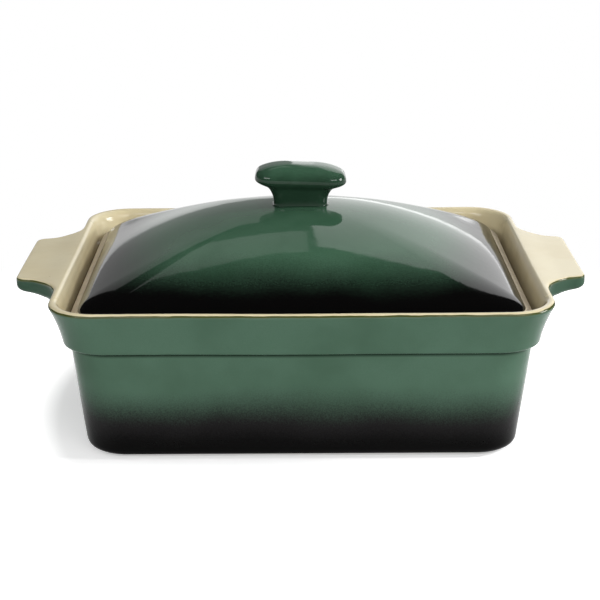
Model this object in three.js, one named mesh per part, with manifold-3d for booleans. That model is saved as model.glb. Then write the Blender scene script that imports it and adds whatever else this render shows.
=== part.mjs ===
// Covered oblong casserole in glazed stoneware: a tapered dish with a flared rim band, two lug handles and
// a low foot ring, and a domed lid with an oblong knob that seats on a ledge inside the rim.
// Millimetres, +Z up. X runs from handle to handle and Y from front to back. The origin is the centre of
// the foot ring, on the surface that the dish stands on.
import * as THREE from "three";
import { mergeVertices } from "three/addons/utils/BufferGeometryUtils.js";
import Module from "manifold-3d";

const wasm = await Module();
wasm.setup();

// Dish, outside
const RIM_LENGTH = 320; // over the lips, along X
const RIM_WIDTH = 246; // over the lips, along Y
const RIM_CORNER_RADIUS = 29; // in plan, at the lip
const CORNER_TIGHTENING = 0.2; // corner radius lost for each millimetre of inset from the lip
const DISH_HEIGHT = 106; // standing surface to the crest of the rim
const BAND_HEIGHT = 29.5; // crest of the rim to the step under the flared band
const RIM_FLARE = 7.5; // overhang of the lip past the lower edge of the band
const STEP_DEPTH = 4; // overhang of the band past the wall below it
const WALL_DRAFT = 7.5; // lean of the wall between the step and the base
const BASE_EDGE_RADIUS = 6.5; // rounding between the wall and the underside

// Dish, inside
const LIP_THICKNESS = 4.6; // rounded lip, and the gallery wall below it
const GALLERY_DEPTH = 21; // crest of the rim to the ledge that carries the lid
const WALL_THICKNESS = 6.8; // below the ledge
const FLOOR_THICKNESS = 8;
const FLOOR_FILLET = 16; // between the inner wall and the floor

// Foot ring
const FOOT_HEIGHT = 1.8;
const FOOT_WIDTH = 7;
const FOOT_INSET = 8.5; // from the base outline to the ring
const FOOT_EDGE_RADIUS = 0.7;

// Handles
const HANDLE_REACH = 29.5; // past the lip
const HANDLE_TIP_LENGTH = 92; // along Y, at the outer edge
const HANDLE_ROOT_LENGTH = 158; // along Y, where the flare meets the rim
const HANDLE_TIP_RADIUS = 6; // outer corners in plan
const HANDLE_DROP = 1; // crest of the rim down to the top of the handle
const HANDLE_TIP_THICKNESS = 9;
const HANDLE_ROOT_THICKNESS = 13;
const HANDLE_UNDER_RADIUS = 3.6; // rounding of the lower edges
const HANDLE_TOP_RADIUS = 1.2; // rounding of the upper edges

// Lid
const LID_CLEARANCE = 1.1; // from the edge of the lid to the gallery wall at the ledge
const SEAT_GAP = 0.3; // from the lid to the ledge
const LID_EDGE_HEIGHT = 9; // upright edge of the lid
const LID_EDGE_RADIUS = 2; // upper outer edge of the lid
const BRIM_WIDTH = 6.2; // bare band, in plan
const BRIM_RISE = 2.4; // slope of the bare band, from the edge to the dome
const DOME_RISE = 46.5; // from the bare band to the crown
const DOME_CORNER_RADIUS = 17; // in plan, at the foot of the dome
const DOME_SHOULDER_SHARE = 0.1; // part of the rise that falls away at the edge of the dome
const LID_THICKNESS = 5.6;
const LID_HOLLOW_START = 5; // upright part of the hollow, above the foot of the lid

// Knob
const KNOB_LENGTH = 62;
const KNOB_WIDTH = 31;
const KNOB_CORNER_RADIUS = 11; // in plan
const KNOB_EDGE_HEIGHT = 8.6; // upright edge of the grip
const KNOB_TOP_RISE = 3.4; // swell of the top above the edge
const KNOB_UNDER_RISE = 3.2; // slope of the underside between the neck and the edge
const KNOB_STAND = 13.4; // crown of the lid to the underside at the neck
const NECK_LENGTH = 34;
const NECK_WIDTH = 20;
const NECK_FLARE = 3; // spread of the neck at its foot

// Joints between luted pieces
const LUTE_GAP = 0.3;

// Fineness of the curved surfaces
const CORNER_STEPS = 8;
const CURVE_STEPS = 5;
const LIP_STEPS = 8;
const KNOB_CORNER_STEPS = 6;
const LID_SIDE_STEPS = 7;
const DOME_STEPS = 12;

const LIP_RADIUS = LIP_THICKNESS / 2;
const LIP_EDGE_Z = DISH_HEIGHT - LIP_RADIUS;
const STEP_Z = DISH_HEIGHT - BAND_HEIGHT;
const STEP_NOSE = STEP_DEPTH * 0.6;
const STEP_HOLLOW = STEP_DEPTH - STEP_NOSE;
const WALL_TOP_INSET = RIM_FLARE + STEP_DEPTH;
const LEDGE_Z = DISH_HEIGHT - GALLERY_DEPTH;
const LEDGE_FILLET = LID_CLEARANCE * 0.75;
const FLOOR_Z = FOOT_HEIGHT + FLOOR_THICKNESS;
const BASE_INSET = WALL_TOP_INSET + WALL_DRAFT;

// Inset of the flared band's outer face from the lip: most of the flare is near the lip.
function bandInset(z) {
  const down = (LIP_EDGE_Z - z) / (LIP_EDGE_Z - STEP_Z);
  return RIM_FLARE * (1.5 * down - 0.5 * down * down);
}

// Inset of the leaning wall under the step.
function wallInset(z) {
  return WALL_TOP_INSET + (WALL_DRAFT * (STEP_Z - z)) / (STEP_Z - FOOT_HEIGHT);
}

function galleryInset(z) {
  return bandInset(z) + LIP_THICKNESS;
}

// One level of a piece: a rounded rectangle, anticlockwise seen from above.
function roundedRing(halfLength, halfWidth, radius, z, cornerSteps, sideSteps) {
  const corners = [
    [1, 1],
    [-1, 1],
    [-1, -1],
    [1, -1],
  ];
  const arcs = corners.map(([signX, signY], quarter) => {
    const start = (quarter * Math.PI) / 2;
    const x = signX * (halfLength - radius);
    const y = signY * (halfWidth - radius);
    return new THREE.EllipseCurve(x, y, radius, radius, start, start + Math.PI / 2).getPoints(cornerSteps);
  });
  const ring = [];
  arcs.forEach((arc, quarter) => {
    const next = arcs[(quarter + 1) % 4][0];
    const side = new THREE.LineCurve(arc[arc.length - 1], next).getPoints(sideSteps);
    ring.push(...arc, ...side.slice(1, -1));
  });
  return ring.map((point) => new THREE.Vector3(point.x, point.y, z));
}

// The rim outline moved in by an inset, with slowly tightening corners. It shapes the dish, the foot and
// the lid.
function dishRing(inset, z, sideSteps = 1) {
  const radius = RIM_CORNER_RADIUS - CORNER_TIGHTENING * inset;
  return roundedRing(RIM_LENGTH / 2 - inset, RIM_WIDTH / 2 - inset, radius, z, CORNER_STEPS, sideSteps);
}

// Points of a section through the wall, as inset and height. Each curve leaves out its first point.
function straight(from, to, steps) {
  return new THREE.LineCurve(from, to).getPoints(steps).slice(1);
}

function rounded(from, corner, to) {
  return new THREE.QuadraticBezierCurve(from, corner, to).getPoints(CURVE_STEPS).slice(1);
}

function at(inset, z) {
  return new THREE.Vector2(inset, z);
}

function middleOf(ring) {
  const sum = new THREE.Vector3();
  ring.forEach((point) => sum.add(point));
  return sum.divideScalar(ring.length);
}

// A closed skin through rings of equal length, ordered from the underside outward, up and over. Ends are
// either both capped by a fan to the middle or joined to each other.
function skin(rings, capped) {
  const count = rings[0].length;
  const points = rings.flat();
  const faces = [];
  const last = rings.length - 1;
  for (let level = 0; level < (capped ? last : rings.length); level += 1) {
    const low = level * count;
    const high = ((level + 1) % rings.length) * count;
    for (let i = 0; i < count; i += 1) {
      const j = (i + 1) % count;
      faces.push(low + i, low + j, high + j);
      faces.push(low + i, high + j, high + i);
    }
  }
  if (capped) {
    const first = points.push(middleOf(rings[0])) - 1;
    const final = points.push(middleOf(rings[last])) - 1;
    for (let i = 0; i < count; i += 1) {
      const j = (i + 1) % count;
      faces.push(first, j, i);
      faces.push(final, last * count + i, last * count + j);
    }
  }
  const geometry = new THREE.BufferGeometry().setFromPoints(points);
  geometry.setIndex(faces);
  return geometry;
}

function solidOf(geometry) {
  const merged = mergeVertices(geometry, 1e-3);
  const vertProperties = new Float32Array(merged.attributes.position.array);
  const triVerts = new Uint32Array(merged.index.array);
  return new wasm.Manifold(new wasm.Mesh({ numProp: 3, vertProperties, triVerts }));
}

function cutAway(geometry, tool) {
  const result = solidOf(geometry).subtract(solidOf(tool)).getMesh();
  const cut = new THREE.BufferGeometry();
  cut.setAttribute("position", new THREE.BufferAttribute(result.vertProperties, 3));
  cut.setIndex(new THREE.BufferAttribute(result.triVerts, 1));
  return cut;
}

// Outer section of the dish, from the underside up to the outer edge of the lip.
function outerSection() {
  const baseStart = at(BASE_INSET + BASE_EDGE_RADIUS, FOOT_HEIGHT);
  const baseCorner = at(BASE_INSET, FOOT_HEIGHT);
  const wallFootZ = FOOT_HEIGHT + BASE_EDGE_RADIUS;
  const wallFoot = at(wallInset(wallFootZ), wallFootZ);
  const wallTop = at(wallInset(STEP_Z - STEP_HOLLOW), STEP_Z - STEP_HOLLOW);
  const noseStart = at(RIM_FLARE + STEP_NOSE, STEP_Z);
  const noseTopZ = STEP_Z + STEP_NOSE;
  const noseTop = at(bandInset(noseTopZ), noseTopZ);
  const bandSteps = 6;
  const band = [];
  for (let i = 1; i <= bandSteps; i += 1) {
    const z = THREE.MathUtils.lerp(noseTopZ, LIP_EDGE_Z, i / bandSteps);
    band.push(at(bandInset(z), z));
  }
  return [
    baseStart,
    ...rounded(baseStart, baseCorner, wallFoot),
    ...straight(wallFoot, wallTop, 1),
    ...rounded(wallTop, at(WALL_TOP_INSET, STEP_Z), noseStart),
    ...rounded(noseStart, at(RIM_FLARE, STEP_Z), noseTop),
    ...band,
  ];
}

// The rounded lip, from its outer edge over the crest to its inner edge.
function lipSection() {
  const round = new THREE.EllipseCurve(LIP_RADIUS, LIP_EDGE_Z, LIP_RADIUS, LIP_RADIUS, Math.PI, 0, true);
  return round.getPoints(LIP_STEPS).slice(1);
}

// Inner section of the dish, from the lip down to the floor.
function innerSection() {
  const gallerySteps = 5;
  const galleryFootZ = LEDGE_Z + LEDGE_FILLET;
  const gallery = [];
  for (let i = 1; i <= gallerySteps; i += 1) {
    const z = THREE.MathUtils.lerp(LIP_EDGE_Z, galleryFootZ, i / gallerySteps);
    gallery.push(at(galleryInset(z), z));
  }
  const ledgeEdge = 1.5;
  const ledgeInner = WALL_TOP_INSET + WALL_THICKNESS;
  const ledgeStart = at(galleryInset(LEDGE_Z) + LEDGE_FILLET, LEDGE_Z);
  const ledgeEnd = at(ledgeInner - ledgeEdge, LEDGE_Z);
  const wallTop = at(ledgeInner, LEDGE_Z - ledgeEdge);
  const filletTop = at(wallInset(FLOOR_Z + FLOOR_FILLET) + WALL_THICKNESS, FLOOR_Z + FLOOR_FILLET);
  const floorCorner = at(wallInset(FLOOR_Z) + WALL_THICKNESS, FLOOR_Z);
  const floorStart = at(floorCorner.x + FLOOR_FILLET, FLOOR_Z);
  return [
    ...lipSection(),
    ...gallery,
    ...rounded(gallery[gallerySteps - 1], at(galleryInset(LEDGE_Z), LEDGE_Z), ledgeStart),
    ...straight(ledgeStart, ledgeEnd, 1),
    ...rounded(ledgeEnd, at(ledgeInner, LEDGE_Z), wallTop),
    ...straight(wallTop, filletTop, 1),
    ...rounded(filletTop, floorCorner, floorStart),
  ];
}

function dishBody() {
  const section = [...outerSection(), ...innerSection()];
  return skin(
    section.map((point) => dishRing(point.x, point.y)),
    true,
  );
}

// The outside of the dish as a full block, grown by a gap and carried up past the rim.
function dishBlock(gap) {
  const rings = outerSection().map((point) => dishRing(point.x - gap, point.y));
  const outerLip = lipSection().slice(0, LIP_STEPS / 2);
  outerLip.forEach((point) => rings.push(dishRing(point.x - gap, point.y)));
  rings.push(dishRing(LIP_RADIUS, DISH_HEIGHT + LIP_RADIUS));
  return skin(rings, true);
}

function footRing() {
  const outer = BASE_INSET + FOOT_INSET;
  const inner = outer + FOOT_WIDTH;
  const edge = FOOT_EDGE_RADIUS;
  const section = [
    at(inner - edge, 0),
    at(outer + edge, 0),
    ...rounded(at(outer + edge, 0), at(outer, 0), at(outer, edge)),
    at(outer, FOOT_HEIGHT),
    at(inner, FOOT_HEIGHT),
    at(inner, edge),
  ];
  const innerEdge = rounded(at(inner, edge), at(inner, 0), at(inner - edge, 0)).slice(0, -1);
  return skin(
    [...section, ...innerEdge].map((point) => dishRing(point.x, point.y)),
    false,
  );
}

// A lug that points along +X: flat on top, rounded below, thicker and wider where it meets the rim.
function handle() {
  const rootX = RIM_LENGTH / 2 - 2;
  const tipX = RIM_LENGTH / 2 + HANDLE_REACH;
  const buriedX = rootX - RIM_FLARE - STEP_DEPTH;
  const tipHalf = HANDLE_TIP_LENGTH / 2;
  const rootHalf = HANDLE_ROOT_LENGTH / 2;
  const waist = new THREE.Vector2(RIM_LENGTH / 2 + HANDLE_REACH * 0.3, tipHalf + HANDLE_REACH * 0.1);
  const corner = new THREE.Vector2(tipX, tipHalf);
  const tipStart = new THREE.Vector2(tipX, tipHalf - HANDLE_TIP_RADIUS);
  const tipEnd = corner.clone().lerp(waist, HANDLE_TIP_RADIUS / corner.distanceTo(waist));
  const root = new THREE.Vector2(rootX, rootHalf);
  const half = [
    tipStart,
    ...rounded(tipStart, corner, tipEnd),
    ...new THREE.QuadraticBezierCurve(tipEnd, waist, root).getPoints(9).slice(1),
    new THREE.Vector2(buriedX, rootHalf),
  ];
  const mirrored = half.map((point) => new THREE.Vector2(point.x, -point.y)).reverse();
  const outline = [...mirrored, ...half];
  const outward = outline.map((point, i) => {
    const before = outline[(i + outline.length - 1) % outline.length];
    const after = outline[(i + 1) % outline.length];
    return new THREE.Vector2(after.y - before.y, before.x - after.x).normalize();
  });
  const rootZ = -HANDLE_ROOT_THICKNESS;
  const slope = (HANDLE_ROOT_THICKNESS - HANDLE_TIP_THICKNESS) / (HANDLE_REACH + 2);
  const level = (inset, drop, fromTop) =>
    outline.map((point, i) => {
      const x = point.x - outward[i].x * inset;
      const y = point.y - outward[i].y * inset;
      const underside = rootZ + slope * Math.max(point.x - rootX, 0);
      return new THREE.Vector3(x, y, DISH_HEIGHT - HANDLE_DROP + (fromTop ? -drop : underside + drop));
    });
  const quarter = (radius, steps) =>
    new THREE.EllipseCurve(0, 0, radius, radius, 0, Math.PI / 2).getPoints(steps);
  const under = quarter(HANDLE_UNDER_RADIUS, 4).reverse();
  const top = quarter(HANDLE_TOP_RADIUS, 3);
  const rings = [
    ...under.map((p) => level(HANDLE_UNDER_RADIUS - p.x, HANDLE_UNDER_RADIUS - p.y, false)),
    ...top.map((p) => level(HANDLE_TOP_RADIUS - p.x, HANDLE_TOP_RADIUS - p.y, true)),
  ];
  return cutAway(skin(rings, true), dishBlock(LUTE_GAP));
}

// The lid is measured up from the foot of its rim.
const LID_Z = LEDGE_Z + SEAT_GAP;
const LID_INSET = galleryInset(LEDGE_Z) + LID_CLEARANCE;
const DOME_INSET = LID_INSET + BRIM_WIDTH;
const DOME_FOOT_Z = LID_EDGE_HEIGHT + BRIM_RISE;
const CROWN_Z = DOME_FOOT_Z + DOME_RISE;

// The outline of the dome's foot, moved in by an inset.
function domeFoot(inset, z) {
  const halfLength = RIM_LENGTH / 2 - DOME_INSET - inset;
  const halfWidth = RIM_WIDTH / 2 - DOME_INSET - inset;
  return roundedRing(halfLength, halfWidth, DOME_CORNER_RADIUS, z, CORNER_STEPS, LID_SIDE_STEPS);
}

function lidRim() {
  const edge = LID_EDGE_RADIUS;
  const slope = BRIM_RISE / BRIM_WIDTH;
  const upright = at(LID_INSET, LID_EDGE_HEIGHT - edge);
  const shoulder = at(LID_INSET + edge, LID_EDGE_HEIGHT + slope * edge);
  const section = [
    at(LID_INSET + 1, 0),
    at(LID_INSET, 1),
    upright,
    ...rounded(upright, at(LID_INSET, LID_EDGE_HEIGHT), shoulder),
  ];
  const outside = section.map((point) => dishRing(point.x, point.y, LID_SIDE_STEPS));
  return skin([domeFoot(0, 0), ...outside, domeFoot(0, DOME_FOOT_Z)], false);
}

// One level of a dome over a rounded rectangle. The share is 1 at its foot, where the level has the outline
// of the foot, and falls to 0 at the crown, where the levels turn into ellipses.
function domeRing(foot, share, crownZ, rise) {
  const halfLength = Math.max(...foot.map((point) => point.x));
  const halfWidth = Math.max(...foot.map((point) => point.y));
  const squareness = share ** 2;
  const drop = (1 - DOME_SHOULDER_SHARE) * share ** 2.2 + DOME_SHOULDER_SHARE * share ** 36;
  return foot.map((point) => {
    const reach = Math.hypot(point.x / halfLength, point.y / halfWidth);
    const scale = share * (squareness + (1 - squareness) / reach);
    return new THREE.Vector3(point.x * scale, point.y * scale, crownZ - rise * drop);
  });
}

// Levels of a dome from its crown to its foot, closer together towards the steep foot.
function domeShares() {
  const start = 0.3;
  return Array.from({ length: DOME_STEPS }, (_, i) =>
    Math.sin(((i + start) / (DOME_STEPS - 1 + start)) * (Math.PI / 2)),
  );
}

function lidDome() {
  const outerFoot = domeFoot(0, 0);
  const innerFoot = domeFoot(LID_THICKNESS, 0);
  const hollowCrown = CROWN_Z - LID_THICKNESS;
  const outer = domeShares().map((share) => domeRing(outerFoot, share, CROWN_Z, DOME_RISE));
  const inner = domeShares().map((share) =>
    domeRing(innerFoot, share, hollowCrown, hollowCrown - LID_HOLLOW_START),
  );
  return skin([...inner, innerFoot, outerFoot, ...outer.reverse()], true);
}

// The outer dome as a full block, raised by a gap.
function domeBlock(gap) {
  const foot = domeFoot(0, 0);
  const outer = domeShares().map((share) => domeRing(foot, share, CROWN_Z + gap, DOME_RISE));
  return skin([foot, ...outer.reverse()], true);
}

// The knob stands on the crown. A spread of 0 is the neck and 1 the edge of the grip.
function knob() {
  const ring = (halfLength, halfWidth, radius, z) =>
    roundedRing(halfLength, halfWidth, radius, CROWN_Z + z, KNOB_CORNER_STEPS, 1);
  const stem = (spread, z) => {
    const halfLength = THREE.MathUtils.lerp(NECK_LENGTH, KNOB_LENGTH, spread) / 2;
    const halfWidth = THREE.MathUtils.lerp(NECK_WIDTH, KNOB_WIDTH, spread) / 2;
    return ring(halfLength, halfWidth, (KNOB_CORNER_RADIUS * halfWidth) / (KNOB_WIDTH / 2), z);
  };
  const top = (inset, z) =>
    ring(KNOB_LENGTH / 2 - inset, KNOB_WIDTH / 2 - inset, KNOB_CORNER_RADIUS - inset * 0.6, z);
  const footSpread = (2 * NECK_FLARE) / (KNOB_LENGTH - NECK_LENGTH);
  const foot = at(footSpread, 0);
  const neckLow = at(0, NECK_FLARE);
  const neckHigh = at(0, KNOB_STAND * 0.6);
  const under = at(0.5, KNOB_STAND + KNOB_UNDER_RISE * 0.5);
  const edgeLow = at(1, KNOB_STAND + KNOB_UNDER_RISE + KNOB_EDGE_HEIGHT * 0.4);
  const stemSection = [
    at(footSpread, -LID_THICKNESS / 2),
    foot,
    ...rounded(foot, at(0, 0), neckLow),
    neckHigh,
    ...rounded(neckHigh, at(0, KNOB_STAND), under),
    ...rounded(under, at(1, KNOB_STAND + KNOB_UNDER_RISE), edgeLow),
  ];
  const edgeTop = KNOB_STAND + KNOB_UNDER_RISE + KNOB_EDGE_HEIGHT;
  const swellStart = at(KNOB_EDGE_HEIGHT * 0.5, edgeTop + KNOB_TOP_RISE * 0.45);
  const swellEnd = at(KNOB_CORNER_RADIUS, edgeTop + KNOB_TOP_RISE);
  const topSection = [
    ...rounded(at(0, edgeLow.y), at(0, edgeTop), swellStart),
    ...rounded(swellStart, at(KNOB_CORNER_RADIUS * 0.7, swellEnd.y), swellEnd),
  ];
  const rings = [
    ...stemSection.map((point) => stem(point.x, point.y)),
    ...topSection.map((point) => top(point.x, point.y)),
  ];
  return cutAway(skin(rings, true), domeBlock(LUTE_GAP));
}

function piece(name, geometry, color, roughness) {
  const material = new THREE.MeshStandardMaterial({ color, roughness, metalness: 0 });
  const mesh = new THREE.Mesh(geometry, material);
  mesh.name = name;
  return mesh;
}

const GREEN_GLAZE = 0x3f6450;
const CREAM_GLAZE = 0xe4dcc2;
const BARE_STONEWARE = 0xb7a98c;

const dish = new THREE.Group();
dish.name = "dish";
const lug = handle();
const handleRight = piece("handle_right", lug, CREAM_GLAZE, 0.25);
const handleLeft = piece("handle_left", lug, CREAM_GLAZE, 0.25);
handleLeft.rotation.z = Math.PI;
dish.add(piece("dish_body", dishBody(), GREEN_GLAZE, 0.25));
dish.add(piece("foot_ring", footRing(), BARE_STONEWARE, 0.85));
dish.add(handleLeft, handleRight);

const lid = new THREE.Group();
lid.name = "lid";
lid.position.z = LID_Z;
lid.add(piece("lid_dome", lidDome(), GREEN_GLAZE, 0.15));
lid.add(piece("lid_rim", lidRim(), BARE_STONEWARE, 0.8));
lid.add(piece("lid_knob", knob(), GREEN_GLAZE, 0.15));

const casserole = new THREE.Group();
casserole.name = "casserole";
casserole.add(dish, lid);

export default casserole;
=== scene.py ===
import math

import bpy
import numpy as np
from mathutils import Matrix, Vector


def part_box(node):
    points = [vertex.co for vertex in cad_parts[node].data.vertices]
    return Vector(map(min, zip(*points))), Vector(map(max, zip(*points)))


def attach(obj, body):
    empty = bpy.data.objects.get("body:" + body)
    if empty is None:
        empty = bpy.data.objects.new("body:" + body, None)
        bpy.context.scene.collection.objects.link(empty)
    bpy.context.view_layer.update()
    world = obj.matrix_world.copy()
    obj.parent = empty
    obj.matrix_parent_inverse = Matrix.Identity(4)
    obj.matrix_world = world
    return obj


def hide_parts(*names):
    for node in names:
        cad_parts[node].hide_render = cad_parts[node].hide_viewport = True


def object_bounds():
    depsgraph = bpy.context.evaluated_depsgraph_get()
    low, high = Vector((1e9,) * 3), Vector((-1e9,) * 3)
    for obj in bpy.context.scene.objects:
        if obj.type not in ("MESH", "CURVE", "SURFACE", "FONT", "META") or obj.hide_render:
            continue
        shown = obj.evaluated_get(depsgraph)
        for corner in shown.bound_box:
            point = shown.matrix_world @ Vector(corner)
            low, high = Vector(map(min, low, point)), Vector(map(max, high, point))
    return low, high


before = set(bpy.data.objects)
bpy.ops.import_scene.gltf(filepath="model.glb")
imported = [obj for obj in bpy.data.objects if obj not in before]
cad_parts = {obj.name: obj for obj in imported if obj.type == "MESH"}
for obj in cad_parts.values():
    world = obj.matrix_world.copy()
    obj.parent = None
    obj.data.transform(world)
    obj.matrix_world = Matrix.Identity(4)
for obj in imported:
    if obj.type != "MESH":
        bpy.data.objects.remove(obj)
cad_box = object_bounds()

# Shapes are worked out in millimetres, in the frame of the solids: X from handle to handle, Y from front to
# back, +Z up. Overall sizes come from the solids.
MM = 0.001


def low_corner(node):
    return np.array(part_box(node)[0]) / MM


def high_corner(node):
    return np.array(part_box(node)[1]) / MM


# Dish
RIM_X, RIM_Y, RIM_TOP = high_corner("dish_body")
BASE_Z = low_corner("dish_body")[2]
RIM_CORNER_RADIUS = 29
CORNER_TIGHTENING = 0.2
LIP_RADIUS = 2.3
LIP_EDGE_Z = RIM_TOP - LIP_RADIUS
STEP_Z = RIM_TOP - 29.5
RIM_FLARE = 7.5
STEP_NOSE = 2.4
STEP_HOLLOW = 1.6
WALL_TOP_INSET = RIM_FLARE + STEP_NOSE + STEP_HOLLOW
WALL_DRAFT = 7.5
BASE_EDGE_RADIUS = 6.5
WALL_THICKNESS = 6.8
LEDGE_Z = RIM_TOP - 21
LEDGE_EDGE = 1.5
FLOOR_Z = BASE_Z + 8
FLOOR_FILLET = 16
GLAZE_LINE_ANGLE = math.radians(42)  # on the lip, above its outer edge
GALLERY_TOP_Z = RIM_TOP - 8  # where the roll of the crest ends inside the rim
GALLERY_DRAFT = 0.185
CREST_FLAT = 3  # level stretch of the crest before it rolls inward
ROLL_PULL = (0.45, 3.5)  # how the roll bends into the gallery, as inset and height
CREASE_RADIUS = 1.2  # between the gallery and the ledge
MIDDLE_HALF = 24  # half width of the flat middle of the floor and of the underside
STEP_SHADE_DROP = 0.8  # painted shade is darkest this far under the step
STEP_SHADE_REACH = 2.4
SEAT_REACH = 4  # height of the bare seat and its painted shade above and below the ledge
SEAT_GAIN = 1.6  # how soon the seat is fully bare and fully darkened by painted shade

# Foot
FOOT_X = high_corner("foot_ring")[0]
FOOT_INSET = RIM_X - FOOT_X
FOOT_WIDTH = 7
FOOT_EDGE = 0.7
FOOT_OVERLAP = 0.4  # height of the ring that is luted into the base

# Handles
HANDLE_TIP_X = high_corner("handle_right")[0]
HANDLE_TOP = high_corner("handle_right")[2]
HANDLE_TIP_HALF = 46
HANDLE_TIP_RADIUS = 7
HANDLE_ROOT_HALF = 88
HANDLE_TIP_THICKNESS = 9
HANDLE_ROOT_THICKNESS = 13
HANDLE_TOP_EDGE = 1.7
HANDLE_UNDER_EDGE = 3.6
HANDLE_UNDER_FILLET = 7
HANDLE_FOLD = 17  # width of the fold between the rim's crest and the flat top
HANDLE_MERGE = 12  # overhang over which the lug grows out of the rim
HANDLE_SIDE_WAY = np.array([-0.99, 0.14])  # plan direction of a side where it leaves the tip
HANDLE_SIDE_PULL = 11.5  # how far a side keeps that direction
HANDLE_ROOT_PULL = 26  # how far a side runs along the rim at its root
HANDLE_PAINTED_SHADE = 0.44  # painted shade: deeper green below the glaze line of the handles
EDGE_SHARE = 0.4  # widest rounding of an edge, as a share of the overhang
FILLET_SHARE = 0.5
LEAST_ROUND = 0.05
BURIED = 0.12  # depth at which a luted edge lies under its neighbour's surface
CORE_TOP_INSET = 3  # of the hidden core that closes a lug inside the rim

# Levels on the bare rim that the rows of a lug grow out of
TWIN_ANGLE = math.radians(40)
TWIN_SIDE_Z = RIM_TOP - 8
TWIN_ROUND_Z = RIM_TOP - 11
TWIN_UNDER_Z = RIM_TOP - 15
TWIN_FILLET_Z = RIM_TOP - 20
TWIN_CORE_Z = RIM_TOP - 21

# Lid
LID_FOOT_Z = low_corner("lid_rim")[2]
LID_INSET = RIM_X - high_corner("lid_rim")[0]
DOME_SPREAD = 1.8  # the dome fills out over its bare edge
DOME_INSET = RIM_X - high_corner("lid_dome")[0] - DOME_SPREAD
DOME_FOOT_Z = high_corner("lid_rim")[2]
CROWN_Z = high_corner("lid_dome")[2]
DOME_CORNER_RADIUS = 20
DOME_POWER = 2.2
DOME_SHOULDER_SHARE = 0.1
DOME_SHOULDER_POWER = 36
LID_THICKNESS = 5.6
LID_HOLLOW_START = 5
LID_EDGE_RADIUS = 2
BRIM_RISE = 2.4
GLAZE_END = 0.996  # share of the dome at which the glaze ends
GLAZE_DEPTH = 0.0018  # thickness of the glaze, as a share of the dome
GLAZE_EDGE = 0.004  # share of the dome over which the glaze thins out
BRIM_FOOT_EDGE = 1.2
BRIM_INNER_EDGE = 1

# Knob
KNOB_X, KNOB_Y, KNOB_TOP = high_corner("lid_knob")
KNOB_CORNER_RADIUS = 11
KNOB_STAND = 12
KNOB_EDGE_Z = 17.2  # widest level of the grip, above the crown of the lid
KNOB_TOP_INSET = 2.8
KNOB_SIDE_BULGE = 2.4
KNOB_SWELL = 4.5  # rise of the rounded top above its edge
KNOB_SWELL_POWER = 3.3
KNOB_CORNER_TIGHTENING = 0.55
KNOB_TOP_ROOM = 0.5  # left under the top of the solid for the lean
KNOB_LEAN = 0.04  # the grip sits a little lower on its right
KNOB_LEAN_START = 4
KNOB_LEAN_SPAN = 12
KNOB_BURIED = 1.5
NECK_X = 18.2
NECK_Y = 10.4
NECK_FLARE = 1.2
NECK_FOOT_RISE = 2
# Profile of the knob, as spread from the neck to the edge of the grip and height above the crown
NECK_BEND = ((0, 4.5), (0.05, 7.2), (0.2, 10))
UNDER_BEND = ((0.34, 12.6), (0.55, 13), (0.76, 14.3))
EDGE_BEND = (0.99, 15.7)


def bezier(points, steps, first=False):
    """Points along a Bezier curve of any degree, without the first one unless asked for."""
    t = np.linspace(0, 1, steps + 1)[:, None]
    level = [np.array(p, float) + 0 * t for p in points]
    while len(level) > 1:
        level = [a + (b - a) * t for a, b in zip(level, level[1:])]
    return level[0] if first else level[0][1:]


def smooth(value):
    t = np.clip(value, 0, 1)
    return t * t * (3 - 2 * t)


def band_inset(z):
    """Inset of the flared band from the lip: most of the flare is near the lip."""
    down = (LIP_EDGE_Z - z) / (LIP_EDGE_Z - STEP_Z)
    return RIM_FLARE * (1.5 * down - 0.5 * down * down)


def gallery_inset(z):
    """Inset of the wall inside the rim, between the roll of the crest and the ledge."""
    return band_inset(GALLERY_TOP_Z) + 2 * LIP_RADIUS + GALLERY_DRAFT * (GALLERY_TOP_Z - z)


def wall_inset(z):
    return WALL_TOP_INSET + WALL_DRAFT * (STEP_Z - z) / (STEP_Z - BASE_Z)


def rounded_ring(half_x, half_y, radius, corner_steps, side_steps):
    """A rounded rectangle as plan points, anticlockwise from the start of its back right corner."""
    points = []
    angles = np.linspace(0, math.pi / 2, corner_steps + 1)
    for quarter, (sx, sy) in enumerate(((1, 1), (-1, 1), (-1, -1), (1, -1))):
        turned = angles + quarter * math.pi / 2
        x = sx * (half_x - radius) + radius * np.cos(turned)
        y = sy * (half_y - radius) + radius * np.sin(turned)
        points.append(np.stack([x, y], 1))
    ring = []
    for quarter, arc in enumerate(points):
        after = points[(quarter + 1) % 4][0]
        steps = side_steps[quarter % 2]
        side = np.linspace(arc[-1], after, steps + 1)[1:-1]
        ring += [arc, side]
    return np.concatenate(ring)


CORNER_STEPS = 22
SIDE_STEPS = (56, 44)


def dish_ring(inset):
    radius = RIM_CORNER_RADIUS - CORNER_TIGHTENING * inset
    return rounded_ring(RIM_X - inset, RIM_Y - inset, radius, CORNER_STEPS, SIDE_STEPS)


def lid_ring(inset):
    """The outline of the lid, which tightens at its corners from its edge to the foot of the dome."""
    edge_radius = RIM_CORNER_RADIUS - CORNER_TIGHTENING * LID_INSET
    radius = np.interp(inset, [LID_INSET, DOME_INSET], [edge_radius, DOME_CORNER_RADIUS])
    return rounded_ring(RIM_X - inset, RIM_Y - inset, radius, CORNER_STEPS, SIDE_STEPS)


def stand(plan, z):
    return np.column_stack([plan, np.broadcast_to(z, len(plan))])


def skin_faces(rows, columns, joined=False):
    """Quads between rings, ordered from the underside outward, up and over."""
    grid = np.arange(rows * columns).reshape(rows, columns)
    if joined:
        grid = np.vstack([grid, grid[:1]])
    low, high = grid[:-1], grid[1:]
    quads = [low, np.roll(low, -1, 1), np.roll(high, -1, 1), high]
    return np.stack(quads, 2).reshape(-1, 4).tolist()


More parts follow.
